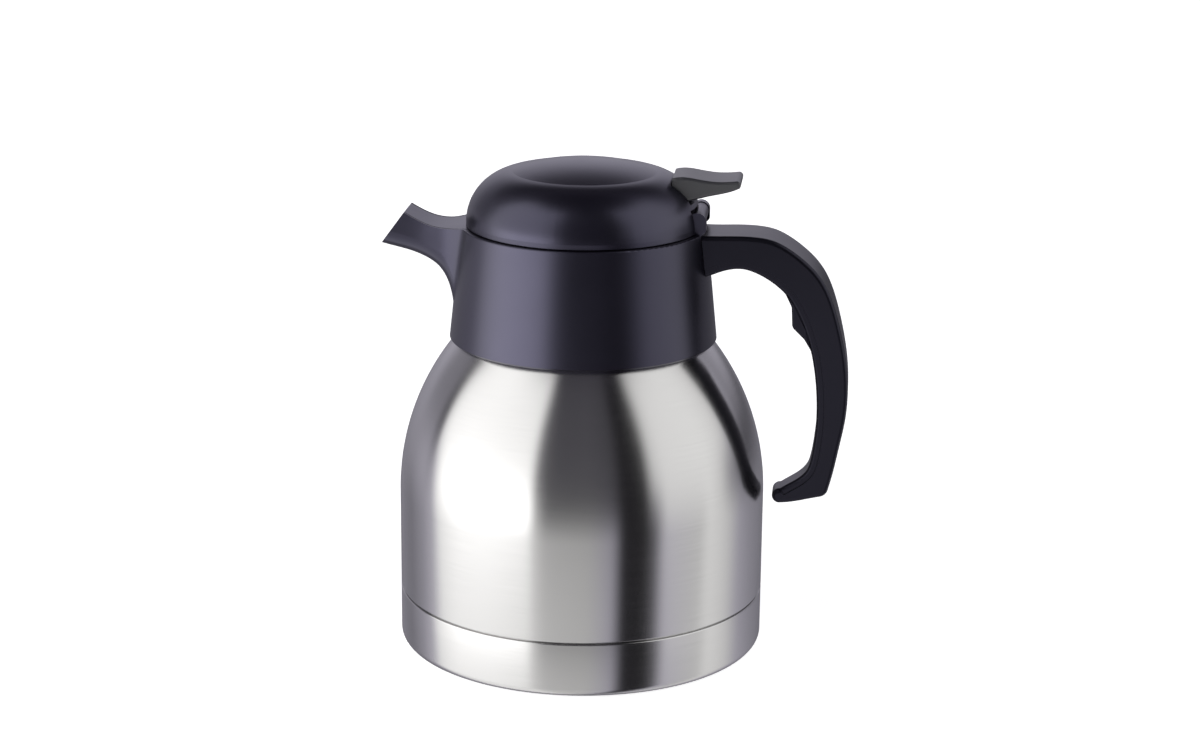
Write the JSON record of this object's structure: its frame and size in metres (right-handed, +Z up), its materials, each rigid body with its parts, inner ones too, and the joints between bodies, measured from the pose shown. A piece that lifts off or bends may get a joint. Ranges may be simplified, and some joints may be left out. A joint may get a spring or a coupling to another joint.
{
  "type": "thermal carafe",
  "caption": "Vacuum carafe with a brushed steel body, a hinged dome lid, a thumb lever that lifts the pour valve, a short open spout and a hooked side handle",
  "frame": {"origin": "centre of the flat rest face under the pad, on the table", "axes": "+Z up, handle towards +X, spout towards -X, the XZ plane is the mirror plane"},
  "size_m": [0.1777, 0.14, 0.1874],
  "materials": {
    "base_pad": "matt black rubber",
    "base_cup": "brushed stainless steel",
    "outer_shell": "brushed stainless steel",
    "shell_bottom": "plain stainless steel",
    "inner_flask": "plain stainless steel",
    "inner_neck": "plain stainless steel",
    "inner_flask_bottom": "plain stainless steel",
    "neck_ring": "natural polypropylene",
    "neck_gasket": "translucent silicone",
    "collar": "satin moulded polypropylene",
    "handle_shell": "satin moulded polypropylene",
    "handle_cover": "satin moulded polypropylene",
    "handle_screws": "plain stainless steel",
    "hinge_pin": "plain stainless steel",
    "lid_base": "satin moulded polypropylene",
    "lid_dome": "satin moulded polypropylene",
    "lid_seal": "translucent silicone",
    "lid_screws": "plain stainless steel",
    "stopper_flange": "satin moulded polypropylene",
    "stopper_cup": "satin moulded polypropylene",
    "stopper_foam": "closed cell foam",
    "stopper_seal": "translucent silicone",
    "lever_pin": "plain stainless steel",
    "valve_spring": "plain stainless steel",
    "thumb_lever": "satin moulded polypropylene, dark grey",
    "valve_stem": "natural polypropylene",
    "valve_seal": "translucent silicone",
    "stem_head": "natural polypropylene"
  },
  "bodies": {
    "jug": {"base_pad": "base_pad", "base_cup": "base_cup", "outer_shell": "outer_shell", "shell_bottom": "shell_bottom", "inner_flask": "inner_flask", "inner_neck": "inner_neck", "inner_flask_bottom": "inner_flask_bottom", "neck_ring": "neck_ring", "neck_gasket": "neck_gasket", "collar": "collar", "handle_shell": "handle_shell", "handle_cover": "handle_cover", "handle_screws": "handle_screws", "hinge_pin": "hinge_pin"},
    "lid": {"lid_base": "lid_base", "lid_dome": "lid_dome", "lid_seal": "lid_seal", "lid_screws": "lid_screws", "stopper_flange": "stopper_flange", "stopper_cup": "stopper_cup", "stopper_foam": "stopper_foam", "stopper_seal": "stopper_seal", "lever_pin": "lever_pin", "valve_spring": "valve_spring"},
    "lever": {"thumb_lever": "thumb_lever"},
    "valve": {"valve_stem": "valve_stem", "valve_seal": "valve_seal", "stem_head": "stem_head"}
  },
  "joints": [
    {"name": "lid_hinge", "type": "hinge", "parent": "jug", "child": "lid", "pos_m": [0.0433, 0, 0.168], "axis": [0, 1, 0], "range_deg": [0, 44]},
    {"name": "lever_pivot", "type": "hinge", "parent": "lid", "child": "lever", "pos_m": [0.036, 0, 0.1766], "axis": [0, 1, 0], "range_deg": [0, 8]},
    {"name": "valve_lift", "type": "slide", "parent": "lid", "child": "valve", "axis": [0, 0, 1], "range_m": [0, 0.0053], "stiffness_N_per_m": 1.5, "springref_m": -0.006, "deforming": ["valve_spring"]}
  ],
  "couplings": [
    {"joint": "valve_lift", "follows": "lever_pivot", "m_per_rad": 0.036}
  ]
}
